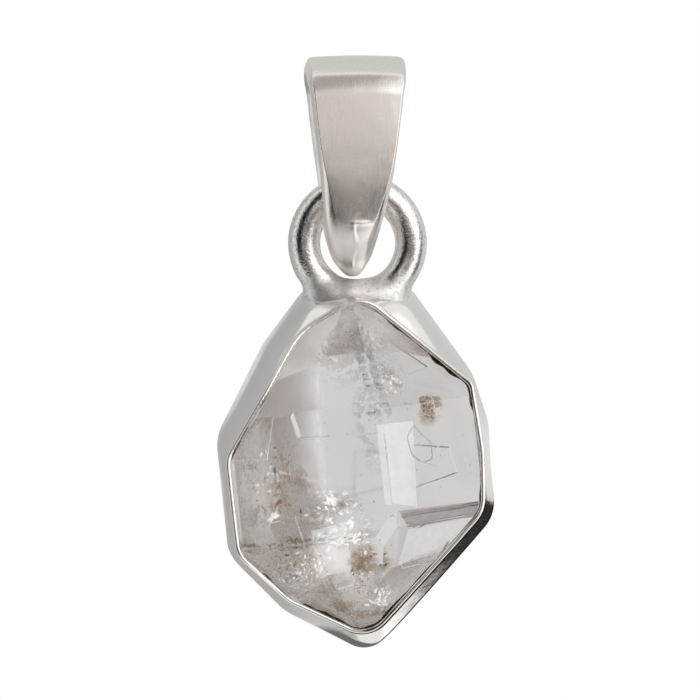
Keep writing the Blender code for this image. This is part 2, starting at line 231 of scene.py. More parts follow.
PANELS = (
    # bearing, half width, two angles from straight up, colour, softness of the edge
    (0.0, 75.0, 14.0, 66.0, (1.5, 1.5, 1.48), 6.0),
    (0.0, 180.0, -40.0, 17.0, (0.66, 0.61, 0.57), 7.0),
    (-82.0, 54.0, 13.0, 45.0, (0.15, 0.137, 0.125), 9.0),
    (174.0, 60.0, 21.0, 68.0, (0.015, 0.013, 0.012), 3.5),
    (-38.0, 40.0, 76.0, 104.0, (0.015, 0.015, 0.015), 4.0),
    (90.0, 20.0, 19.0, 74.0, (0.36, 0.33, 0.30), 9.0),
)
glow = (0.86, 0.84, 0.82)
for look in PANELS:
    glow = panel(sky, glow, *look)
seen_directly = node(sky, "LightPath").outputs["Is Camera Ray"]
glow = mix(sky, seen_directly, glow, (1.0, 1.0, 1.0))
background = node(sky, "Background", {"Color": glow, "Strength": 1.0})
sky.links.new(background.outputs[0], node(sky, "OutputWorld").inputs["Surface"])
print("sky panels:", len(PANELS))

# %% [markdown]
# ## The floor
#
# The pendant lies on a light table, a white surface that glows softly, so that it shows
# no shadow and lights the crystal from behind. The floor is a plain disc that is partly
# matt and partly glowing. Where it is looked at directly, it is see-through and shows the
# white sky behind it, because the bail swings below the table at its limits. An upright
# wall mirrors the floor beside it, not the sky, so the cards that shade it lie flat round
# the setting: dark ones to the lower right and at the tip, and grey ones to the left and
# the top. They show only in reflections.

# %% Floor
# The disc is in mm. The setting's middle and half sizes are in metres, as in the shader.
FLOOR_RADIUS, FLOOR_HEIGHT = 90.0, -0.015
MIDDLE_NORTH = -0.0052
HALF_WIDTH, HALF_LENGTH = 0.0060, 0.0080


def mesh_of(name, points, faces):
    """A mesh from arrays: points in mm, and for each face the numbers of its points."""
    mesh = bpy.data.meshes.new(name)
    mesh.from_pydata((points.reshape(-1, 3) * MM).tolist(), [], faces.tolist())
    return mesh


def round_floor(name, steps=96):
    """A flat disc: points on a circle at evenly spaced angles, joined by one face."""
    angle = np.arange(steps) * 2 * pi / steps
    flat = FLOOR_RADIUS * np.column_stack((np.cos(angle), np.sin(angle)))
    rim = np.column_stack((flat, np.full(steps, FLOOR_HEIGHT)))
    return bpy.data.objects.new(name, mesh_of(name, rim, np.arange(steps)[None]))


floor = round_floor("light_table")
bpy.context.scene.collection.objects.link(floor)
floor_paint, tree, _ = new_finish("white_floor")
tree.nodes.clear()
place = node(tree, "SeparateXYZ", {0: object_place(tree)})
east = place.outputs["X"]
north = sums(tree, "SUBTRACT", place.outputs["Y"], MIDDLE_NORTH)
reach = length(tree, east, north)
outline = length(tree, sums(tree, "DIVIDE", east, HALF_WIDTH), sums(tree, "DIVIDE", north, HALF_LENGTH))
beside = step_between(tree, outline, 0.96, 1.06)
to_right, to_bail = sums(tree, "DIVIDE", east, reach), sums(tree, "DIVIDE", north, reach)
lower_right = times(tree, sums(tree, "SUBTRACT", to_right, to_bail), 0.7071)
darkness = step_between(tree, outline, 1.35, 2.0, 0.35, 0.98)
cards = times(tree, step_between(tree, lower_right, 0.735, 0.79), darkness)
OTHER_CARDS = (
    # direction, where the card starts and where it is full, darkness
    (to_bail, -0.955, -0.985, 0.80),
    (to_right, 0.0, -0.5, 0.42),
    (to_bail, 0.1, 0.5, 0.20),
)
for way, start, full, dark in OTHER_CARDS:
    cards = sums(tree, "MAXIMUM", cards, times(tree, step_between(tree, way, start, full), dark))
level = sums(tree, "SUBTRACT", 1.0, times(tree, beside, cards))
matt = node(tree, "BsdfDiffuse", {"Color": mix(tree, level, (0.0, 0.0, 0.0), (0.22, 0.218, 0.216))})
wires = {"Color": (1.0, 0.985, 0.98, 1.0), "Strength": times(tree, level, 0.63)}
table_glow = node(tree, "Emission", wires)
table = node(tree, "AddShader", {0: matt.outputs[0], 1: table_glow.outputs[0]})
unseen = node(tree, "BsdfTransparent")
direct = node(tree, "LightPath").outputs["Is Camera Ray"]
both = node(tree, "MixShader", {0: direct, 1: table.outputs[0], 2: unseen.outputs[0]})
tree.links.new(both.outputs[0], node(tree, "OutputMaterial").inputs["Surface"])
floor.data.materials.append(floor_paint)
print("floor ready")

# %% [markdown]
# ## Silver
#
# Silver is a metal, so its colour is the colour of its reflection, a warm light grey.
# What tells one silver surface from another is how it was worked: a buffed wire is
# sharp and bright, a face finished with a fine wheel is silky, and the inside of a
# setting is dull and stained. Two effects are shared by all of them, so each is a node
# group: fine marks from polishing, and the brown film that stays in corners.

# %% Effects shared by the silver finishes
def effect(name, inputs, outputs):
    """An empty node group, the sockets that give its inputs, and the node that takes its outputs."""
    made = bpy.data.node_groups.new(name, "ShaderNodeTree")
    for label, start in inputs.items():
        kind = "NodeSocketVector" if isinstance(start, tuple) else "NodeSocketFloat"
        socket = made.interface.new_socket(label, in_out="INPUT", socket_type=kind)
        socket.default_value = start
    for label in outputs:
        made.interface.new_socket(label, in_out="OUTPUT", socket_type="NodeSocketFloat")
    return made, made.nodes.new("NodeGroupInput").outputs, made.nodes.new("NodeGroupOutput")


def stretched_place(group, given, label):
    """The group's place, stretched, and its marks for each metre."""
    wires = {0: given["Vector"], 1: given["Stretch"]}
    stretched = node(group, "VectorMath", wires, operation="MULTIPLY").outputs[0]
    return stretched, times(group, given[label], 1000.0)


polish_marks, given, made = effect(
    "polish_marks",
    {"Vector": (0.0, 0.0, 0.0), "Stretch": (1.0, 1.0, 1.0), "Marks per mm": 6.0},
    ("Scratches", "Waves", "Specks"),
)
stretched, per_metre = stretched_place(polish_marks, given, "Marks per mm")
dots = noise(polish_marks, given["Vector"], 7000.0, 3.0, 0.6)
feed(polish_marks, made, {
    "Scratches": noise(polish_marks, stretched, per_metre, 4.0, 0.6),
    "Waves": noise(polish_marks, given["Vector"], 420.0, 2.0, 0.45),
    "Specks": step_between(polish_marks, dots, 0.52, 0.66),
})

brown_film, given, made = effect(
    "brown_film",
    {"Vector": (0.0, 0.0, 0.0), "Patches per mm": 0.9, "Amount": 0.5},
    ("Film",),
)
per_metre = times(brown_film, given["Patches per mm"], 1000.0)
clouds = noise(brown_film, given["Vector"], per_metre, 6.0, 0.62)
edge = sums(brown_film, "SUBTRACT", 0.78, times(brown_film, given["Amount"], 0.5))
feed(brown_film, made, {"Film": step_between(brown_film, clouds, edge, plus(brown_film, edge, 0.16))})
print("effects:", polish_marks.name, brown_film.name)


# %% Silver finishes
def silver(name, colour, roughness, stretch=(1.0, 1.0, 1.0), marks=6.0, scratch=0.25, wave=0.2,
           speck=0.0, film=0.0, film_colour=(0.30, 0.22, 0.14), film_patches=0.9):
    """A silver finish: scratches and waves in the height, and a brown film in patches."""
    made, tree, shader = new_finish(name)
    place = object_place(tree)
    wires = {"Vector": place, "Stretch": stretch, "Marks per mm": marks}
    worn = node(tree, "Group", wires, node_tree=polish_marks).outputs
    wires = {"Vector": place, "Patches per mm": film_patches, "Amount": film}
    stain = node(tree, "Group", wires, node_tree=brown_film).outputs["Film"]
    dull = times(tree, worn["Specks"], speck)
    shade = mix(tree, times(tree, dull, 0.8), colour, (0.30, 0.28, 0.26))
    rub = times(tree, sums(tree, "SUBTRACT", worn["Scratches"], 0.5), roughness * 0.9)
    rough = plus(tree, plus(tree, rub, roughness), times(tree, stain, 0.3))
    wires = {"Height": worn["Scratches"], "Strength": scratch, "Distance": 0.00002}
    fine = node(tree, "Bump", wires).outputs[0]
    wires = {"Height": worn["Waves"], "Strength": wave, "Distance": 0.0003, "Normal": fine}
    feed(tree, shader, {
        "Base Color": mix(tree, stain, shade, film_colour),
        "Roughness": plus(tree, rough, times(tree, dull, 0.2), clamp=True),
        "Metallic": 1.0,
        "Normal": node(tree, "Bump", wires).outputs[0],
    })
    return made


def duller_towards(material, axis, start, end, extra):
    """Adds roughness along one axis of the piece: none at the start, all of it at the end."""
    tree = material.node_tree
    shader = tree.nodes["Principled BSDF"]
    place = node(tree, "SeparateXYZ", {0: object_place(tree)})
    share = step_between(tree, place.outputs[axis], start * MM, end * MM, 0.0, extra)
    before = shader.inputs["Roughness"].links[0].from_socket
    tree.links.new(plus(tree, before, share, clamp=True), shader.inputs["Roughness"])


def leaning(material, lean):
    """Leans the surface's normals a little, as if the piece were set at a slight angle."""
    tree = material.node_tree
    upright = node(tree, "NewGeometry").outputs["Normal"]
    pushed = node(tree, "VectorMath", {0: upright, 1: lean}, operation="ADD")
    leant = node(tree, "VectorMath", {0: pushed.outputs[0]}, operation="NORMALIZE")
    for bump in tree.nodes:
        if bump.bl_idname == "ShaderNodeBump" and not bump.inputs["Normal"].links:
            tree.links.new(leant.outputs[0], bump.inputs["Normal"])


wall_silver = silver("softly_polished_silver", (0.93, 0.92, 0.905), 0.16, (1.0, 1.0, 0.25), 5.0, 0.35, 0.16)
ring_silver = silver("buffed_wire_silver", (0.94, 0.925, 0.91), 0.06, marks=11.0, scratch=0.85, wave=0.40,
                     speck=0.5)
bail_silver = silver("silky_strip_silver", (0.94, 0.915, 0.885), 0.25, (1.0, 0.12, 1.0), 10.0, 0.07, 0.14)
seat_silver = silver("stained_inner_silver", (0.93, 0.91, 0.88), 0.40, marks=5.0, scratch=0.6, wave=0.3,
                     film=0.40, film_colour=(0.42, 0.34, 0.25))
leaning(ring_silver, (0.0, -0.16, 0.0))
duller_towards(ring_silver, "Y", 3.9, 3.1, 0.36)
duller_towards(bail_silver, "Y", 6.4, 5.2, 0.16)
print("silver finishes ready")

# %% [markdown]
# ## Surfaces from grids of points
#
# Each metal piece below is one closed surface on a grid: rows go along the piece and
# columns go round its section. The whole grid is worked out at once with arrays, and
# its neighbours are joined by four-sided faces. If the surface came out with its inside
# outwards, its volume is negative, and then each face is listed the other way round.

# %% Grid helpers
def add_piece(name, mesh, finish, body="setting"):
    """An object of the mesh, with its finish, that rides on a body."""
    mesh.materials.append(finish)
    made = bpy.data.objects.new(name, mesh)
    bpy.context.scene.collection.objects.link(made)
    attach(made, body)
    return made


def full_turn(count):
    """Evenly spaced angles over a full turn."""
    return np.linspace(0, 2 * pi, count, endpoint=False)


def grid_object(name, grid, finish, body="setting"):
    """A closed surface from a grid of points in mm. Rows and columns both join up at their ends."""
    rows, columns = grid.shape[:2]
    first = np.arange(rows)[:, None] * columns
    below = (first + columns) % (rows * columns)
    here = np.arange(columns)
    there = (here + 1) % columns
    faces = np.stack((first + here, first + there, below + there, below + here), axis=-1).reshape(-1, 4)
    points = grid.reshape(-1, 3)
    a, b, c, d = (points[faces[:, i]] for i in range(4))
    volume = (np.einsum("ij,ij->", a, np.cross(b, c)) + np.einsum("ij,ij->", a, np.cross(c, d))) / 6
    if volume < 0:
        faces = faces[:, ::-1]
    mesh = mesh_of(name, points, faces)
    mesh.polygons.foreach_set("use_smooth", np.ones(len(faces), bool))
    made = add_piece(name, mesh, finish, body)
    print(name, "faces:", len(faces), "volume mm3:", round(abs(volume), 1))
    return made


def ripple(points, scale, seed):
    """A smooth uneven value for each point: the mean of five sine waves in odd directions."""
    rng = np.random.default_rng(seed)
    heading = unit(rng.normal(size=(5, 3)))
    phase = rng.uniform(0, 2 * pi, 5)
    return np.sin(points @ (heading.T / scale) + phase).mean(axis=-1)


# %% [markdown]
# ## The wall of the setting
#
# The setting is a strip of thin sheet bent round the crystal, soldered into a ring and
# pushed over the crystal's edge at the top. Its foot and its rim are two many-cornered
# outlines with rounded corners. Each outline is found on rays that turn evenly round
# the middle of the setting, and the wall is a loft between the two: going up, it moves
# from the foot's outline to the rim's, slowly at first and then quickly.

# %% Outlines of the setting
SHIFT = np.array((0.0379, 0.0124, 0.0))
SETTING_CENTRE = np.array((0.0, -5.2))
RIM_CORNERS = (
    (0.164, 2.774, 1.47), (5.093, -1.233, 0.67), (5.599, -4.277, 4.5), (5.614, -6.933, 1.55),
    (0.488, -12.739, 1.42), (-3.179, -11.005, 2.66), (-5.450, -8.884, 1.33), (-5.947, -4.545, 1.33),
    (-2.668, 1.095, 3.55),
)
FOOT_CORNERS = (
    (2.377, 3.049, 1.33), (5.153, -0.800, 2.20), (5.938, -3.084, 3.00), (6.075, -7.160, 1.78),
    (0.589, -13.508, 1.11), (-3.216, -11.570, 2.66), (-5.629, -9.101, 1.60), (-6.186, -3.865, 2.20),
    (-4.087, 0.322, 2.60), (-2.228, 2.786, 0.80),
)
AROUND = 720
RAYS = np.arange(AROUND) * 360.0 / AROUND


def bell(value, middle, width, power=2):
    """One at the middle, nothing far from it. A higher power gives a flatter top."""
    return np.exp(-(np.abs(value - middle) / width) ** power)


def rounded_outline(corners, steps=24):
    """A closed line: an arc of the given radius in each corner, straight runs between."""
    spots = np.array([corner[:2] for corner in corners])
    radius = np.array([corner[2] for corner in corners])[:, None]
    behind = unit(np.roll(spots, 1, axis=0) - spots)
    ahead = unit(np.roll(spots, -1, axis=0) - spots)
    half = np.arccos((behind * ahead).sum(axis=1))[:, None] / 2
    middle = spots + unit(behind + ahead) * radius / np.sin(half)
    start = spots + behind * radius / np.tan(half) - middle
    end = spots + ahead * radius / np.tan(half) - middle
    share = np.linspace(0, 1, steps)[None, :, None]
    arc = start[:, None] * (1 - share) + end[:, None] * share
    arc = middle[:, None] + unit(arc) * radius[:, None]
    gap = np.roll(arc[:, 0], -1, axis=0) - arc[:, -1]
    share = np.linspace(0, 1, 62)[None, 1:-1, None]
    straight = arc[:, -1][:, None] + gap[:, None] * share
    return np.concatenate((arc, straight), axis=1).reshape(-1, 2)


def on_rays(line):
    """The line's point on each of the evenly turned rays from the middle of the setting."""
    arm = line - SETTING_CENTRE
    angle = np.unwrap(np.arctan2(arm[:, 0], arm[:, 1]))
    order = np.argsort(angle)
    rays = full_turn(AROUND)
    reach = np.interp(rays, angle[order], np.hypot(*arm.T)[order], period=2 * pi)
    return SETTING_CENTRE + reach[:, None] * np.column_stack((np.sin(rays), np.cos(rays)))


def heading_of(line):
    """Unit steps along a closed line, from the point before each point to the one after."""
    return unit(np.roll(line, -1, axis=0) - np.roll(line, 1, axis=0))


def inward_of(line):
    """Unit normals of a flat clockwise line, towards its inside."""
    along = heading_of(line)
    return np.column_stack((along[:, 1], -along[:, 0]))


def inset(line, width):
    """The closed line moved inwards, along its own normals, by a width."""
    return line + inward_of(line) * width


foot = on_rays(rounded_outline(FOOT_CORNERS))
rim = on_rays(rounded_outline(RIM_CORNERS))
print("rim reaches mm:", rim.min(axis=0).round(2), rim.max(axis=0).round(2))

# %% [markdown]
# The rim is not level: it follows the crystal, which is higher in some places than in
# others. The crystal is a solid with flat faces, so its height over a point is the
# lowest of its upward faces there. The faces are read from the solid model: triangles
# with the same direction belong together, and the outermost of them is the main face.

# %% Flat faces of the crystal
def flat_faces(item, smallest=0.4):
    """Unit normals and distances in mm of an object's large flat faces."""
    mesh = item.data
    corners = np.empty(len(mesh.vertices) * 3, np.float32)
    mesh.vertices.foreach_get("co", corners)
    corners = corners.reshape(-1, 3).astype(float) / MM
    mesh.calc_loop_triangles()
    trios = np.empty(len(mesh.loop_triangles) * 3, np.int32)
    mesh.loop_triangles.foreach_get("vertices", trios)
    a, b, c = (corners[trios.reshape(-1, 3)[:, i]] for i in range(3))
    normal = np.cross(b - a, c - a)
    area = np.linalg.norm(normal, axis=1) / 2
    kept = area > 1e-5
    normal = normal[kept] / (2 * area[kept])[:, None]
    distance = (normal * a[kept]).sum(axis=1)
    names, group = np.unique(normal.round(2), axis=0, return_inverse=True)
    group = group.reshape(-1)
    weight = np.bincount(group, area[kept])
    mean = np.column_stack([np.bincount(group, area[kept] * normal[:, i]) for i in range(3)])
    outermost = np.full(len(names), -np.inf)
    np.maximum.at(outermost, group, distance)
    large = weight > smallest
    return unit(mean)[large], outermost[large]


face_normals, face_distances = flat_faces(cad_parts["crystal"])
upward = face_normals[:, 2] > 0.05
print("large faces:", len(face_normals), "of them upward:", int(upward.sum()))


def crystal_top(x, y):
    """Height of the crystal's upper side: the lowest of its upward planes over the point."""
    normals, distances = face_normals[upward], face_distances[upward]
    across = np.multiply.outer(x, normals[:, 0]) + np.multiply.outer(y, normals[:, 1])
    return ((distances - across) / normals[:, 2]).min(axis=-1)


HELD_WIDTH = 0.45
LOWEST, HIGHEST = 4.25, 5.35
WAVES_KEPT = 11.0
RIM_ABOVE_CRYSTAL = 0.10
held = inset(rim, HELD_WIDTH) + SHIFT[:2]
tops = np.clip(crystal_top(held[:, 0], held[:, 1]), LOWEST, HIGHEST)
spread = np.exp(-0.5 * (np.fft.fftfreq(AROUND) * AROUND / WAVES_KEPT) ** 2)
tops = np.fft.ifft(np.fft.fft(tops) * spread).real + RIM_ABOVE_CRYSTAL
print("rim height mm:", tops.min().round(2), "to", tops.max().round(2))

# %% Wall of the setting
LIP = 0.22
LIP_HEIGHT = 0.12
SHEET = 0.40
RUNG_DEPTH, RUNG_LENGTH = 0.05, 4.7


def lean_at(share):
    """How far the wall has moved from foot to rim at a share of its height.

    Most of the way round it curves in slowly. At the lower right it stands upright and
    is bent over in a narrow straight bevel at the top, which the burnisher left there.
    """
    bevelled = bell(RAYS, 133.0, 45.0, 8)
    curved = 0.10 * share + 0.90 * share**5.5
    bent = 0.10 * share + 0.90 * np.clip((share - 0.925) / 0.075, 0, 1)
    return curved * (1 - bevelled) + bent * bevelled


def wall_grid():
    """Rows go up the outer side, over the round lip and down the inner side.

    Each row is an outline between foot and rim, moved inwards, at a share of the height.
    """
    upper_left = bell(RAYS, 322.0, 26.0, 6)
    rungs = RUNG_DEPTH * upper_left * (0.5 + 0.5 * np.sin(np.arange(AROUND) * 2 * pi / RUNG_LENGTH))
    rise = np.concatenate((np.linspace(0, 0.8, 14)[:-1], np.linspace(0.8, 1, 26)))
    lean = lean_at(rise[:, None])[..., None]
    shoulder = tops - LIP_HEIGHT
    rows = []
    for share, move in zip(rise[:-1], lean[:-1]):
        rows.append(np.column_stack((foot * (1 - move) + rim * move, shoulder * share)))
    for angle in np.linspace(0, pi, 15):
        across = LIP / 2 * (1 - cos(angle))
        height = shoulder + LIP_HEIGHT * sin(angle) ** 0.8 - rungs * max(0.0, -cos(angle)) ** 0.5
        rows.append(np.column_stack((inset(rim, across), height)))
    for share in np.linspace(0.97, 0, 24):
        move = lean_at(share)[:, None]
        thickness = LIP + (SHEET - LIP) * min(1, (1 - share) * 6)
        line = inset(foot * (1 - move) + rim * move, thickness)
        rows.append(np.column_stack((line, shoulder * share)))
    grid = np.array(rows) + SHIFT
    uneven = ripple(grid, 1.3, 3)[..., None] * 0.022 + ripple(grid, 0.42, 5)[..., None] * 0.006
    out = grid - np.append(SETTING_CENTRE, 0.0)
    out[..., 2] = 0
    high = np.clip(grid[..., 2:] / 2.0, 0, 1)
    return grid + unit(out) * (uneven - 0.02) * high


wall = grid_object("bezel_wall_fine", wall_grid(), wall_silver)
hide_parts("bezel_wall")

# %% [markdown]
# Polishing paste and wear leave a thin brown line in the corner between lip and crystal.
# It is broken, and thickest at the upper right. It is a bead that follows the rim: its
# section is a flat half circle, and an uneven wave makes it wider and narrower.

# %% Residue along the rim
def residue_grid(section=10):
    """A flat bead along the inner side of the lip. Its width is a sum of waves, cut at zero."""
    path = np.column_stack((inset(rim, LIP), tops)) + SHIFT
    uneven = 0.55 + 0.9 * ripple(path, 0.35, 51) + 0.7 * ripple(path, 0.12, 52)
    thick = 0.35 + 0.65 * bell(RAYS, 62.0, 42.0, 4) + 0.30 * bell(RAYS, 200.0, 40.0, 4)
    width = 0.015 + 0.20 * np.clip(uneven, 0, 1.3) * thick
    spin = full_turn(section)[:, None]
    offset = width * (0.5 - 0.5 * np.cos(spin))
    flat = inset(rim, LIP - 0.03) + inward_of(rim) * offset[..., None]
    under = crystal_top(flat[..., 0] + SHIFT[0], flat[..., 1] + SHIFT[1])
    height = np.minimum(under + 0.012, tops - 0.02) + 0.018 * np.sin(spin)
    return np.concatenate((flat, height[..., None]), axis=-1) + SHIFT


residue_finish = silver("brown_residue", (0.42, 0.36, 0.30), 0.5, marks=9.0, scratch=0.8, wave=0.3,
                        film=0.85, film_colour=(0.16, 0.11, 0.06), film_patches=4.0)
grid_object("rim_residue", residue_grid(), residue_finish)

# %% [markdown]
# ## The seat
#
# Inside the wall stands a second, lower strip on which the back of the crystal rests.
# It is hardly seen, only as a dull stained line through the crystal's edge and from
# below. The solid model's own piece is the right shape, so it only gets a finish.

# %% Seat
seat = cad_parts["seat_ledge"]
seat.data.materials.clear()
seat.data.materials.append(seat_silver)
print("dressed:", seat.name)

# %% [markdown]
# ## The crystal
#
# Quartz bends light by a factor of 1.544. The shader's transmission and that factor do
# most of the work of a clear stone: the back faces, the dull seat and the floor all show
# through the front, each one shifted by the slope of the face. A very weak absorption
# greys it. The front faces are smooth, with fine growth lines across the prism. The back
# faces are etched and dull, so what is seen through them is soft.
#
# The crystal is a copy of the solid model's own. Its loose triangles are joined first,
# then triangles that lie in one plane become one face, and the edges get a hair's width
# of bevel, because a real edge is never perfectly sharp and catches a line of light.

# %% The place inside the crystal that is seen at a spot of the picture
REFRACTION = 1.544


def first_hit(x, y):
    """Where the camera's ray through a spot of the picture meets the crystal.

    On a solid with flat faces the ray enters at the last of the planes that it crosses
    inwards. Returns the point, the ray's direction and the number of the plane.
    """
    step = FRAME_WIDTH / PICTURE_SIZE
    aside = np.multiply.outer(np.asarray(x, float) - PICTURE_SIZE / 2, right * step)
    raised = np.multiply.outer(PICTURE_SIZE / 2 - np.asarray(y, float), up * step)
    ray = unit(aside + raised - back * DISTANCE)
    facing = ray @ face_normals.T
    travel = (face_distances - face_normals @ eye) / np.where(facing < -1e-6, facing, -1e9)
    plane = travel.argmax(axis=-1)
    point = eye + ray * np.take_along_axis(travel, plane[..., None], axis=-1)
    return point, ray, plane


def seen_at(x, y, depth):
    """The point at a depth in mm below the crystal's surface, along the bent ray.

    Bending: the ray's part along the surface shrinks by the refraction factor.
    """
    point, ray, plane = first_hit(x, y)
    normal = face_normals[plane]
    cosine = -(ray * normal).sum(axis=-1)[..., None]
    inner = ray / REFRACTION
    inner = inner + (cosine / REFRACTION - np.sqrt(1 - (1 - cosine**2) / REFRACTION**2)) * normal
    return point + inner * np.asarray(depth, float)[..., None]


print("middle of the stone, 2 mm down:", seen_at(355.0, 465.0, 2.0).round(2))

# %% Crystal finish
CRYSTAL_LEAN = -6.3

quartz, tree, stone = new_finish("natural_clear_quartz")
place = object_place(tree)
# Painted shade: each face's colour is darkened by the shade written on it. This paints the lighter and
# darker faces that light gives the stone.
painted_shade_tint = mix(tree, marked(tree, "face_painted_shade"), (0.30, 0.265, 0.24), (0.995, 0.99, 0.99))
wires = {"Vector": place, "Rotation": (0.0, 0.0, radians(CRYSTAL_LEAN)), "Scale": (0.05, 1.0, 0.05)}
along_axis = node(tree, "Mapping", wires).outputs[0]
growth = noise(tree, along_axis, 2600.0, 3.0, 0.55)
cloudy = step_between(tree, noise(tree, place, 260.0, 4.0, 0.5), 0.50, 0.75, 0.0, 0.10)
lines = node(tree, "Bump", {"Height": growth, "Strength": 0.35, "Distance": 0.00001})
feed(tree, stone, {
    "Base Color": painted_shade_tint,
    "Transmission Weight": 1.0,
    "IOR": REFRACTION,
    "Roughness": plus(tree, marked(tree, "face_dullness"), cloudy, clamp=True),
    "Normal": lines.outputs[0],
})
haze = node(tree, "VolumeAbsorption", {"Color": (0.86, 0.83, 0.82, 1.0), "Density": 35.0})
tree.links.new(haze.outputs[0], tree.nodes["Material Output"].inputs["Volume"])
print("quartz ready")

# %% Crystal
# Painted shade: some faces get a darker colour, which paints how light falls on them.
FACE_PAINTED_SHADE_AND_DULLNESS = (
    # a spot of the picture that picks the face, its painted shade and its dullness
    (330.0, 350.0, 0.88, 0.12),
    (400.0, 350.0, 0.95, 0.10),
    (345.0, 470.0, 1.00, 0.04),
    (450.0, 480.0, 0.98, 0.04),
    (430.0, 545.0, 0.94, 0.06),
    (240.0, 480.0, 1.00, 0.16),
    (300.0, 570.0, 0.96, 0.12),
)
BACK_DULLNESS, FRONT_DULLNESS = 0.20, 0.06
EDGE_WIDTH = 0.014


def crystal_copy():
    """The solid's mesh with its triangles joined and its flat runs made single faces."""
    work = bmesh.new()
    work.from_mesh(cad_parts["crystal"].data)
    bmesh.ops.remove_doubles(work, verts=work.verts, dist=1e-7)
    bmesh.ops.dissolve_limit(work, angle_limit=radians(0.5), verts=work.verts, edges=work.edges)
    bmesh.ops.recalc_face_normals(work, faces=work.faces)
    mesh = bpy.data.meshes.new("crystal_fine")
    work.to_mesh(mesh)
    work.free()
    return mesh


def mark(mesh, label, domain, values):
    """Writes a value on each point or face of a mesh."""
    mesh.attributes.new(label, "FLOAT", domain).data.foreach_set("value", values)


mesh = crystal_copy()
count = len(mesh.polygons)
normals = np.empty(count * 3, np.float32)
mesh.polygons.foreach_get("normal", normals)
normals = normals.reshape(-1, 3)
painted_face_shades = np.ones(count, np.float32)
dull = np.where(normals[:, 2] < 0, BACK_DULLNESS, FRONT_DULLNESS).astype(np.float32)
for x, y, face_painted_shade, face_dullness in FACE_PAINTED_SHADE_AND_DULLNESS:
    plane = first_hit(x, y)[2]
    chosen = normals @ face_normals[plane] > 0.995
    painted_face_shades[chosen] = face_painted_shade
    dull[chosen] = face_dullness
    print("spot", x, y, "picks faces:", int(chosen.sum()))
mark(mesh, "face_painted_shade", "FACE", painted_face_shades)
mark(mesh, "face_dullness", "FACE", dull)
mesh.polygons.foreach_set("use_smooth", np.zeros(count, bool))
crystal = add_piece("crystal_fine", mesh, quartz)
worn_edges = crystal.modifiers.new("worn edges", "BEVEL")
worn_edges.width = EDGE_WIDTH * MM
worn_edges.segments = 1
worn_edges.limit_method = "ANGLE"
worn_edges.angle_limit = radians(8)
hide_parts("crystal")
print("crystal faces:", count)

# %% [markdown]
# ## What grew inside the crystal
#
# This kind of quartz grew round small cracks, gas pockets and bits of brown mineral. They
# are seen as white sparkling veils, golden brown patches and dark specks. Flakes and specks
# are thin irregular plates. A veil is an uneven sheet with a mask, which leaves it only in
# broken spots. The picture tells where a veil is seen, not where it lies: light bends at
# the surface, so each point is set on the bent ray through its spot of the picture, a few
# millimetres down. Then it is seen in the right place from the front, and is truly inside
# the stone from everywhere else.

# %% Finishes of the inclusions
def grained(tree, shader, share, light, dark, roughness, spread, metallic, scatter):
    """Light and dark grains. Fine cracks scatter light, which a weak glow stands for."""
    colour = mix(tree, share, dark, light)
    feed(tree, shader, {
        "Base Color": colour,
        "Emission Color": colour,
        "Emission Strength": scatter,
        "Roughness": sums(tree, "MULTIPLY_ADD", share, spread, roughness),
        "Metallic": metallic,
    })


def mineral(name, light, dark, roughness, metallic, scatter=0.0):
    """Two colours mixed by fine noise, with a rough broken surface."""
    made, tree, shader = new_finish(name)
    grain = noise(tree, object_place(tree), 5200.0, 4.0, 0.6)
    share = step_between(tree, grain, 0.38, 0.62)
    grained(tree, shader, share, light, dark, roughness, 0.15, metallic, scatter)
    broken = node(tree, "Bump", {"Height": grain, "Strength": 0.5, "Distance": 0.00002})
    tree.links.new(broken.outputs[0], shader.inputs["Normal"])
    return made


veil_mask, given, made = effect(
    "veil_mask",
    {"Vector": (0.0, 0.0, 0.0), "Stretch": (1.0, 1.0, 1.0), "Grains per mm": 5.0, "Cover": 0.5, "Fade": 1.0},
    ("Mask", "Grain"),
)
stretched, per_metre = stretched_place(veil_mask, given, "Grains per mm")
fine_grain = noise(veil_mask, stretched, per_metre, 5.0, 0.65)
broad_cloud = noise(veil_mask, given["Vector"], times(veil_mask, per_metre, 0.22), 2.0, 0.5)
total = plus(veil_mask, fine_grain, times(veil_mask, broad_cloud, 0.9))
edge = sums(veil_mask, "SUBTRACT", 1.35, times(veil_mask, given["Cover"], 0.75))
spots_of_veil = step_between(veil_mask, total, edge, plus(veil_mask, edge, 0.10))
feed(veil_mask, made, {"Mask": times(veil_mask, spots_of_veil, given["Fade"]), "Grain": fine_grain})


def veil(name, light, dark, cover, grains, stretch, strongest, roughness, metallic, scatter):
    """A broken film: seen only where its mask is, lighter and darker from grain to grain."""
    made, tree, shader = new_finish(name)
    wires = {"Vector": object_place(tree), "Stretch": stretch, "Grains per mm": grains,
             "Cover": cover, "Fade": marked(tree, "fade")}
    mask = node(tree, "Group", wires, node_tree=veil_mask).outputs
    tree.links.new(times(tree, mask["Mask"], strongest), shader.inputs["Alpha"])
    share = step_between(tree, mask["Grain"], 0.42, 0.62)
    grained(tree, shader, share, light, dark, roughness, 0.1, metallic, scatter)
    return made


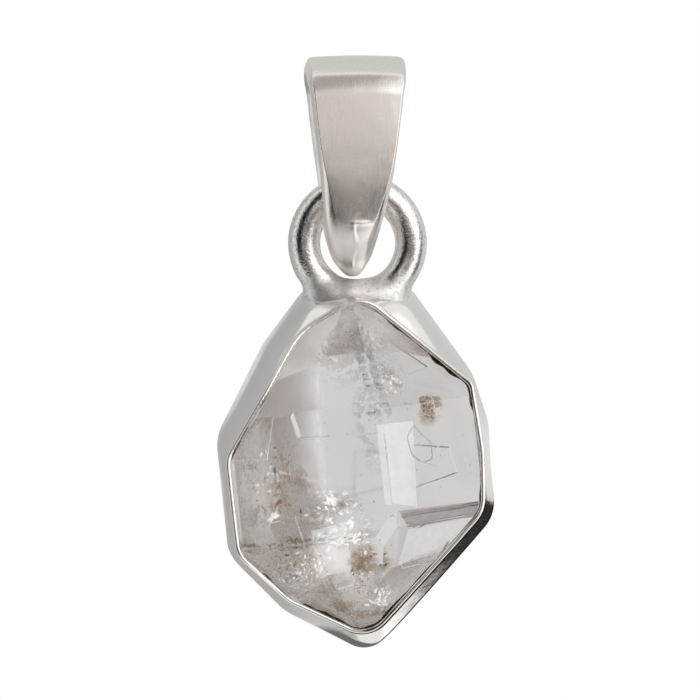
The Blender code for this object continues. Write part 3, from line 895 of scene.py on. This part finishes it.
VEIL_AND_REFLECTION_LOOKS = (
    # name, light and dark colour,
    # cover, grains for each mm, stretch, strongest, roughness, metallic, scatter
    ("sparkling_veil", (1.0, 0.99, 0.98), (0.50, 0.46, 0.43),
     0.60, 4.5, (1.0, 1.6, 1.0), 0.92, 0.2, 0.4, 0.24),
    ("white_haze", (0.98, 0.97, 0.97), (0.86, 0.84, 0.83),
     0.74, 3.0, (1.6, 0.8, 1.0), 0.62, 0.4, 0.1, 0.30),
    ("beige_smoke", (0.88, 0.74, 0.60), (0.34, 0.22, 0.13),
     0.57, 4.6, (1.7, 0.7, 1.0), 0.62, 0.35, 0.1, 0.16),
    ("brown_patch", (0.86, 0.70, 0.46), (0.32, 0.20, 0.10),
     0.68, 3.4, (1.0, 1.0, 1.0), 0.88, 0.35, 0.1, 0.10),
    ("faint_haze", (0.97, 0.96, 0.96), (0.62, 0.58, 0.55),
     0.56, 3.4, (1.0, 1.0, 1.0), 0.5, 0.4, 0.1, 0.12),
    # The last two rows paint the stone's internal reflections: a painted highlight that glows, and a painted
    # dark band.
    ("painted_bright_reflection", (1.0, 1.0, 1.0), (0.94, 0.94, 0.95),
     1.0, 2.0, (1.0, 1.0, 1.0), 0.40, 0.4, 0.0, 0.62),
    ("painted_dark_reflection", (0.56, 0.50, 0.47), (0.46, 0.41, 0.38),
     1.0, 2.0, (0.3, 2.0, 1.0), 0.55, 0.5, 0.0, 0.0),
)
veil_and_reflection_finishes = {look[0]: veil(*look) for look in VEIL_AND_REFLECTION_LOOKS}
veil_white = mineral("white_veil", (0.99, 0.985, 0.98), (0.92, 0.91, 0.90), 0.16, 0.6, 0.5)
veil_grey = mineral("grey_veil", (0.80, 0.77, 0.74), (0.58, 0.54, 0.50), 0.3, 0.5)
golden_brown = mineral("golden_brown_mineral", (0.86, 0.68, 0.42), (0.42, 0.29, 0.15), 0.45, 0.1, 0.08)
pale_brown = mineral("pale_brown_mineral", (0.92, 0.81, 0.69), (0.56, 0.44, 0.33), 0.4, 0.2, 0.12)
dark_mineral = mineral("dark_mineral", (0.20, 0.17, 0.14), (0.06, 0.05, 0.04), 0.5, 0.0)
print("inclusion finishes ready")

# %% Clouds of thin plates
THINNESS = 0.10


def plates(name, clouds, finish, seed, lean_by=0.6):
    """Thin six-sided plates in clouds, as one mesh.

    A cloud is: picture x and y, half width and height in pixels, the two depths between
    which it lies, number of plates, their size in mm, length against width, and heading.
    A plate has six uneven rim points round a centre and one point on either side.
    """
    rng = np.random.default_rng(seed)
    table = np.array(clouds, float)
    rows = np.repeat(table, table[:, 6].astype(int), axis=0)
    total = len(rows)
    round_spot = rng.normal(size=(total, 2)) * 0.5
    x = rows[:, 0] + round_spot[:, 0] * rows[:, 2]
    y = rows[:, 1] + round_spot[:, 1] * rows[:, 3]
    centre = seen_at(x, y, rng.uniform(rows[:, 4], rows[:, 5]))
    size = rows[:, 7] * rng.uniform(0.35, 1.25, total)
    lean = unit(rng.normal(size=(total, 3)) * lean_by * (1.0, 1.0, 0.5) + (0.0, 0.0, 0.8))
    heading = np.radians(rows[:, 9] + rng.normal(size=total) * 28)
    long_side = np.column_stack((np.cos(heading), np.sin(heading), np.zeros(total)))
    long_side = unit(long_side - (long_side * lean).sum(axis=1)[:, None] * lean)
    short_side = np.cross(lean, long_side)
    turn = np.arange(6) * pi / 3
    reach = size[:, None] * rng.uniform(0.45, 1.0, (total, 6))
    rim_points = (
        centre[:, None]
        + (reach * np.cos(turn))[..., None] * long_side[:, None]
        + (reach * np.sin(turn) / rows[:, 8:9])[..., None] * short_side[:, None]
    )
    peak = lean * (size * THINNESS)[:, None]
    points = np.concatenate((rim_points, (centre + peak)[:, None], (centre - peak)[:, None]), axis=1)
    clear = (points @ face_normals.T - face_distances).max(axis=(1, 2)) < -0.08
    points = points[clear]
    here, there = np.arange(6), (np.arange(6) + 1) % 6
    upper = np.stack((here, there, np.full(6, 6)), axis=1)
    lower = np.stack((there, here, np.full(6, 7)), axis=1)
    faces = np.concatenate((upper, lower)) + 8 * np.arange(len(points))[:, None, None]
    print(name, "plates:", len(points), "of", total)
    return add_piece(name, mesh_of(name, points, faces.reshape(-1, 3)), finish)


plates("white_veils", (
    (338, 518, 30, 28, 0.6, 1.3, 36, 0.22, 2.4, 20),
    (328, 500, 16, 10, 0.5, 1.0, 16, 0.20, 2.6, 150),
    (350, 538, 18, 12, 0.6, 1.2, 18, 0.24, 2.6, 35),
    (381, 592, 9, 9, 0.5, 1.0, 12, 0.24, 3.6, 55),
    (375, 603, 9, 3, 0.5, 1.0, 8, 0.20, 3.4, 10),
    (274, 517, 5, 4, 0.5, 0.9, 6, 0.24, 2.6, 70),
    (392, 383, 12, 9, 0.6, 1.2, 10, 0.16, 1.8, 60),
    (296, 575, 24, 40, 0.5, 1.3, 26, 0.17, 3.4, 75),
    (262, 470, 16, 44, 0.5, 1.2, 16, 0.12, 1.8, 60),
    (318, 560, 10, 22, 0.5, 1.2, 16, 0.22, 2.2, 80),
), veil_white, 31, lean_by=0.13)
plates("golden_brown_patches", (
    (363, 562, 14, 18, 0.7, 1.3, 26, 0.13, 1.4, 40),
    (336, 610, 10, 11, 0.5, 1.0, 10, 0.13, 1.8, 120),
    (430, 410, 7, 10, 0.6, 1.3, 12, 0.12, 1.4, 60),
    (280, 506, 12, 11, 0.5, 1.0, 18, 0.24, 3.0, 35),
    (276, 552, 14, 12, 0.5, 1.0, 10, 0.20, 3.2, 60),
), golden_brown, 33)
plates("pale_brown_streaks", (
    (282, 470, 16, 34, 0.6, 1.4, 34, 0.24, 3.2, 62),
    (290, 555, 20, 32, 0.6, 1.4, 32, 0.23, 3.4, 70),
    (334, 606, 34, 13, 0.5, 1.2, 30, 0.18, 2.6, 150),
), pale_brown, 34)
plates("dark_specks", (
    (355, 465, 110, 120, 0.4, 3.0, 80, 0.045, 1.2, 0),
    (288, 556, 18, 32, 0.5, 1.2, 22, 0.15, 3.4, 60),
    (272, 462, 10, 28, 0.5, 1.2, 14, 0.13, 2.8, 65),
    (362, 566, 14, 18, 0.6, 1.2, 16, 0.09, 1.5, 60),
    (337, 612, 9, 9, 0.5, 1.0, 10, 0.12, 1.6, 120),
    (345, 332, 10, 8, 0.4, 1.0, 8, 0.06, 1.3, 30),
    (424, 402, 8, 10, 0.5, 1.2, 8, 0.07, 1.5, 30),
), dark_mineral, 35)

# %% [markdown]
# The veils come next. Each one is a sheet over an ellipse of the picture. It fades out
# towards its border and before it reaches a face of the crystal, and the part that would
# come out of the stone is left away.

# %% Sheets of veil
def sheet_mesh(name, grid, fade, kept=None):
    """An open square sheet from a grid of points in mm, with its fade written on the points."""
    size = len(grid)
    corner = (np.arange(size - 1)[:, None] * size + np.arange(size - 1)).ravel()
    faces = np.column_stack((corner, corner + 1, corner + size + 1, corner + size))
    if kept is not None:
        faces = faces[kept.ravel()[faces].all(axis=1)]
    mesh = mesh_of(name, grid, faces)
    mark(mesh, "fade", "POINT", fade.ravel().astype(np.float32))
    return mesh


def without_loose_points(mesh):
    """Takes away the points that no face uses."""
    work = bmesh.new()
    work.from_mesh(mesh)
    loose = [point for point in work.verts if not point.link_faces]
    bmesh.ops.delete(work, geom=loose, context="VERTS")
    work.to_mesh(mesh)
    work.free()


def veil_sheet(name, finish, x, y, wide, high, depth, turn, size=40):
    """An uneven sheet over an ellipse of the picture, at a depth below the front faces.

    Its two parameters run over a square, which is pulled to a disc. The fade is one in
    the middle and goes down to nothing at the border.
    """
    u, v = np.meshgrid(np.linspace(-1, 1, size), np.linspace(-1, 1, size))
    disc_u, disc_v = u * np.sqrt(1 - v**2 / 2), v * np.sqrt(1 - u**2 / 2)
    slope = radians(turn)
    across = x + wide * disc_u * cos(slope) - high * disc_v * sin(slope)
    down = y + wide * disc_u * sin(slope) + high * disc_v * cos(slope)
    uneven = depth * (1 + 0.25 * np.sin(3.1 * u + 1.7 * v + x) + 0.2 * np.sin(4.3 * v - 2.3 * u + y))
    grid = seen_at(across, down, uneven)
    inside = (grid @ face_normals.T - face_distances).max(axis=-1)
    fade = np.clip((1 - np.hypot(disc_u, disc_v)) / 0.55, 0, 1) * np.clip(-(inside + 0.10) / 0.2, 0, 1)
    mesh = sheet_mesh(name, grid, fade, inside < -0.06)
    mesh.polygons.foreach_set("use_smooth", np.ones(len(mesh.polygons), bool))
    without_loose_points(mesh)
    print(name, "faces:", len(mesh.polygons))
    return add_piece(name, mesh, veil_and_reflection_finishes[finish])


SHEETS = (
    # name, finish, picture x and y, half width and height in pixels, depth in mm, turn
    ("sparkling_veil_middle", "sparkling_veil", 338, 519, 38, 36, 0.9, 0),
    ("sparkling_veil_low", "sparkling_veil", 300, 580, 26, 48, 1.0, 20),
    ("white_haze_left", "white_haze", 256, 480, 28, 80, 1.3, -8),
    ("white_haze_quad", "white_haze", 326, 552, 26, 34, 1.6, 10),
    ("faint_haze_top", "faint_haze", 352, 350, 52, 44, 1.4, 0),
    ("faint_haze_middle", "faint_haze", 368, 420, 16, 60, 1.6, -8),
    ("beige_smoke_left", "beige_smoke", 290, 492, 30, 62, 1.5, -6),
    ("beige_smoke_low", "beige_smoke", 300, 585, 44, 44, 1.6, 0),
    ("beige_smoke_bottom", "beige_smoke", 362, 606, 48, 30, 1.0, 0),
    ("beige_smoke_edge", "beige_smoke", 262, 575, 22, 44, 0.8, -25),
    ("brown_patch_middle", "brown_patch", 363, 562, 19, 24, 1.2, 0),
    ("brown_patch_low", "brown_patch", 337, 611, 14, 13, 0.8, 0),
    ("brown_patch_right", "brown_patch", 430, 410, 13, 18, 1.0, 20),
    ("sparkling_veil_top", "sparkling_veil", 390, 378, 18, 24, 1.0, -30),
)
for sheet in SHEETS:
    veil_sheet(*sheet)

# %% [markdown]
# Flat sheets inside the stone paint its internal reflections: painted highlights, and one painted dark band.
# One place stayed empty: a negative crystal, a hollow with the shape of a crystal. In the picture it is a
# thin grey outline, so it is built as a fine closed line.

# %% Painted internal reflections
def painted_reflection_sheet(name, finish, corners, depth, size=14):
    """A flat four-cornered sheet: its two parameters blend the corners, given in the picture."""
    corners = np.array(corners, float)
    u, v = np.meshgrid(np.linspace(0, 1, size), np.linspace(0, 1, size))
    u, v = u[..., None], v[..., None]
    spots = (
        corners[0] * (1 - u) * (1 - v) + corners[1] * u * (1 - v)
        + corners[2] * u * v + corners[3] * (1 - u) * v
    )
    grid = seen_at(spots[..., 0], spots[..., 1], np.full((size, size), depth))
    print(name, "points:", size * size)
    return add_piece(name, sheet_mesh(name, grid, np.ones((size, size))), veil_and_reflection_finishes[finish])


# Painted reflections: sheets of flat bright and dark colour inside the stone paint its internal reflections.
painted_reflection_sheet("painted_dark_reflection_right", "painted_dark_reflection", ((399, 511), (479, 501), (477, 514), (408, 527)), 0.7)
painted_reflection_sheet("painted_bright_reflection_middle", "painted_bright_reflection", ((384, 424), (413, 421), (417, 507), (393, 503)), 0.9)
painted_reflection_sheet("painted_bright_reflection_low", "painted_bright_reflection", ((311, 531), (346, 522), (352, 571), (320, 578)), 1.2)
painted_reflection_sheet("painted_bright_reflection_wedge", "painted_bright_reflection", ((408, 530), (476, 516), (441, 552), (398, 566)), 0.8)

# %% Negative crystal
CAVITY_SPOTS = ((407, 437), (414, 425), (420, 433), (431, 442), (433, 458), (424, 463), (412, 455))


def outlined(name, spots, depth, thickness, finish, steps=40, section=8):
    """A thin closed line through spots of the picture: a small circle carried along it."""
    spots = np.array(spots, float)
    share = np.linspace(0, len(spots), len(spots) * steps, endpoint=False)
    whole = share.astype(int)
    part = (share - whole)[:, None]
    line = spots[whole] * (1 - part) + spots[(whole + 1) % len(spots)] * part
    for _ in range(60):
        line = (np.roll(line, 1, axis=0) + 2 * line + np.roll(line, -1, axis=0)) / 4
    path = seen_at(line[:, 0], line[:, 1], np.full(len(line), depth))
    along = heading_of(path)
    side = unit(np.cross(along, (0.0, 0.0, 1.0)))
    over = np.cross(side, along)
    spin = full_turn(section)[None, :, None]
    width = thickness * (0.55 + 0.45 * ripple(path, 0.3, 41))[:, None, None]
    grid = path[:, None] + width * (np.cos(spin) * side[:, None] + np.sin(spin) * over[:, None])
    return grid_object(name, grid, finish)


outlined("negative_crystal", CAVITY_SPOTS, 0.7, 0.035, veil_grey)

# %% [markdown]
# ## The soldered ring
#
# The ring is a piece of round wire bent to a circle, with both ends soldered to the top
# of the setting. Solder flows into the corners and fills them, so at its foot the wire
# seems to swell and melt into a saddle on the wall. A plain torus would meet the wall in
# a hard line. Here the torus and the saddle are two distance formulas, blended softly.
# From the middle of the wire a ray goes out in every direction of its section, and the
# surface is where the blended distance is zero for the last time along that ray.

# %% Ring with its solder
RING_CENTRE = np.array((0.04, 4.88, 2.66)) + SHIFT
RING_RADIUS = 2.375
WIRE = 0.71
SADDLE_CENTRE = np.array((0.0, 2.46, 2.45)) + SHIFT
SADDLE_HALF = np.array((2.42, 0.76, 1.34))
SADDLE_POWER = 2.6
SADDLE_SLOPE = 0.80
FILLET = 0.28
WALL_NORTH = 2.47


def soft_distance(points):
    """Distance to the wire and to a boxy ellipsoid, blended: the smaller, less a fillet."""
    arm = points - RING_CENTRE
    wire = np.hypot(np.hypot(arm[..., 0], arm[..., 1]) - RING_RADIUS, arm[..., 2]) - WIRE
    scaled = np.abs((points - SADDLE_CENTRE) / SADDLE_HALF)
    size = (scaled**SADDLE_POWER).sum(axis=-1) ** (1 / SADDLE_POWER)
    saddle = (size - 1) * SADDLE_SLOPE
    near = np.clip(0.5 + 0.5 * (saddle - wire) / FILLET, 0, 1)
    return saddle * (1 - near) + wire * near - FILLET * near * (1 - near)


def ring_grid(steps=360, section=88, samples=76):
    """Rows go round the ring, columns round the wire: a ray to the last zero of the distance."""
    turn = full_turn(steps)[:, None, None]
    spin = full_turn(section)[None, :, None]
    heading = np.concatenate((np.cos(turn), np.sin(turn), 0 * turn), axis=-1)
    ray = np.cos(spin) * heading + np.sin(spin) * np.array((0.0, 0.0, 1.0))
    start = RING_CENTRE + RING_RADIUS * heading
    reach = np.linspace(0.35, 2.3, samples)
    value = soft_distance(start[:, :, None] + ray[:, :, None] * reach[None, None, :, None])
    inside = value < 0
    last = samples - 1 - np.argmax(inside[..., ::-1], axis=-1)
    last = np.clip(last, 0, samples - 2)[..., None]
    low = np.take_along_axis(value, last, axis=-1)
    high = np.take_along_axis(value, last + 1, axis=-1)
    found = reach[last] + (reach[1] - reach[0]) * low / (low - high)
    found = np.where(low < 0, found, WIRE)
    grid = start + ray * found
    aside = grid[..., 0] - SHIFT[0]
    deepest = WALL_NORTH - 0.10 * aside**2 * (grid[..., 2] / 4) ** 2
    grid[..., 1] = np.maximum(grid[..., 1], deepest)
    solder = np.clip((4.0 - grid[..., 1]) / 0.8, 0, 1)[..., None]
    uneven = ripple(grid, 0.5, 9)[..., None] * 0.012 + ripple(grid, 0.21, 10)[..., None] * 0.005
    lumps = (ripple(grid, 0.24, 12) + 0.5 * ripple(grid, 0.11, 13))[..., None] * 0.032 * solder
    return grid + uneven + lumps * ray


ring = grid_object("soldered_ring_fine", ring_grid(), ring_silver)
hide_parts("soldered_ring")

# %% [markdown]
# ## The bail
#
# The bail is a tapered strip of sheet folded into a loop, wide where the chain runs and
# narrow at its foot, where its two ends are soldered together under the wire. Along both
# edges the strip is filed down to a bevel, which widens towards the foot and is slimmer
# on the right. The loop is a section carried along a side line: each point of the section
# is placed across the strip and at a depth below its outer face.

# %% Side line of the bail
BAIL_X, BAIL_DRIFT = -0.08, 0.18
BAIL_TOP, BAIL_TIP = 13.14, 3.46
BAIL_AXIS_Z = 2.68


def curve(start, first, second, end, steps):
    """Points of a cubic curve between two ends, without the last one."""
    share = np.linspace(0, 1, steps, endpoint=False)[:, None]
    rest = 1 - share
    start, first, second, end = (np.array(p) for p in (start, first, second, end))
    return rest**3 * start + 3 * rest**2 * share * first + 3 * rest * share**2 * second + share**3 * end


front = np.concatenate((
    curve((BAIL_TOP, 0.0), (BAIL_TOP, 1.22), (12.84, 1.70), (12.46, 2.19), 60),
    curve((12.46, 2.19), (12.28, 2.42), (11.98, 2.55), (11.50, 2.59), 44),
    curve((11.50, 2.59), (11.13, 2.60), (10.76, 2.60), (10.39, 2.60), 20),
    curve((10.39, 2.60), (8.89, 2.60), (7.30, 2.46), (5.98, 2.21), 80),
    curve((5.98, 2.21), (5.48, 2.10), (5.15, 1.95), (4.90, 1.80), 30),
    curve((4.90, 1.80), (4.25, 1.41), (BAIL_TIP, 0.98), (BAIL_TIP, 0.0), 50),
))
side_line = np.concatenate((front, ((BAIL_TIP, 0.0),), front[:0:-1] * (1.0, -1.0)))
print("side line points:", len(side_line))

# %% Bail
WIDE_END, NARROW_END = 4.45, 0.90
EDGE_SHARE = np.array((0.0, 0.0, 0.02, 0.35, 0.7, 0.94, 1.0))
EDGE_DEPTH = np.array((0.50, 0.36, 0.31, 0.16, 0.06, 0.012, 0.0))


def bail_grid():
    """The section carried along the side line. Columns go round the section.

    Half width shrinks towards the tip; the shoulder is a slope down to the strip's edge.
    A low seam winds down the middle of the tongue, where the two ends are joined.
    """
    y = side_line[:, :1]
    inward = inward_of(side_line)
    inward *= -np.sign(inward[0, 0])
    half = (NARROW_END + (WIDE_END - NARROW_END) * ((y - BAIL_TIP) / (BAIL_TOP - BAIL_TIP)) ** 0.54) / 2
    low = np.clip((9.5 - y) / 4.2, 0, 1) ** 1.6
    shoulder = np.minimum(0.18 + 0.42 * low, half * 0.55)
    slim = np.minimum(shoulder, 0.07 + 0.9 * np.clip(shoulder - 0.18, 0, 1))
    drift = np.clip((8.2 - y) / 3.6, 0, 1)
    middle = BAIL_X - BAIL_DRIFT * drift**2 * (3 - 2 * drift)
    face = np.concatenate(([-0.985], np.linspace(-0.96, 0.96, 45), [0.985]))
    side, none = np.ones(len(EDGE_SHARE)), np.zeros(len(EDGE_SHARE))
    across = np.concatenate((-side, face, side))
    bevel = np.concatenate((EDGE_SHARE, 0 * face, -EDGE_SHARE[::-1]))
    depth = np.concatenate((EDGE_DEPTH, 0 * face, EDGE_DEPTH[::-1]))
    flat = np.concatenate((none, face, none))
    on_face = np.concatenate((none, np.ones(len(face)), none))
    tongue = np.clip((6.3 - y) / 0.8, 0, 1) * np.clip((y - 3.7) / 0.5, 0, 1)
    seam = 0.04 * tongue * bell(flat, 0.12 * np.sin(4.2 * y), 0.13)
    solder = 0.05 * bell(y, 5.82, 0.09) * bell(flat, 0.3, 0.5) * (side_line[:, 1:] > 0)
    crown = (0.07 * (1 - flat**2) + seam + solder) * on_face
    x = middle + half * across + np.where(bevel < 0, slim, shoulder) * bevel
    left_edge, right_edge = middle - half + shoulder, middle + half - slim
    x = np.where(on_face > 0, left_edge + (right_edge - left_edge) * (flat + 1) / 2, x)
    sunk = side_line[:, None] + inward[:, None] * (depth - crown)[..., None]
    bowed = 0.13 * across**2 * bell(sunk[..., 0], 12.15, 0.45)
    near_edge = np.clip((np.abs(x - middle) / half - 0.84) / 0.16, 0, 1.1) ** 2
    rounded = 0.20 * near_edge * np.clip((sunk[..., 0] - 12.1) / 1.0, 0, 1)
    grid = np.stack((x, sunk[..., 0] - bowed - rounded, sunk[..., 1] + BAIL_AXIS_Z), axis=-1) + SHIFT
    return grid + ripple(grid, 1.1, 21)[..., None] * 0.012


bail = grid_object("bail_fine", bail_grid(), bail_silver, body="bail")
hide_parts("bail")
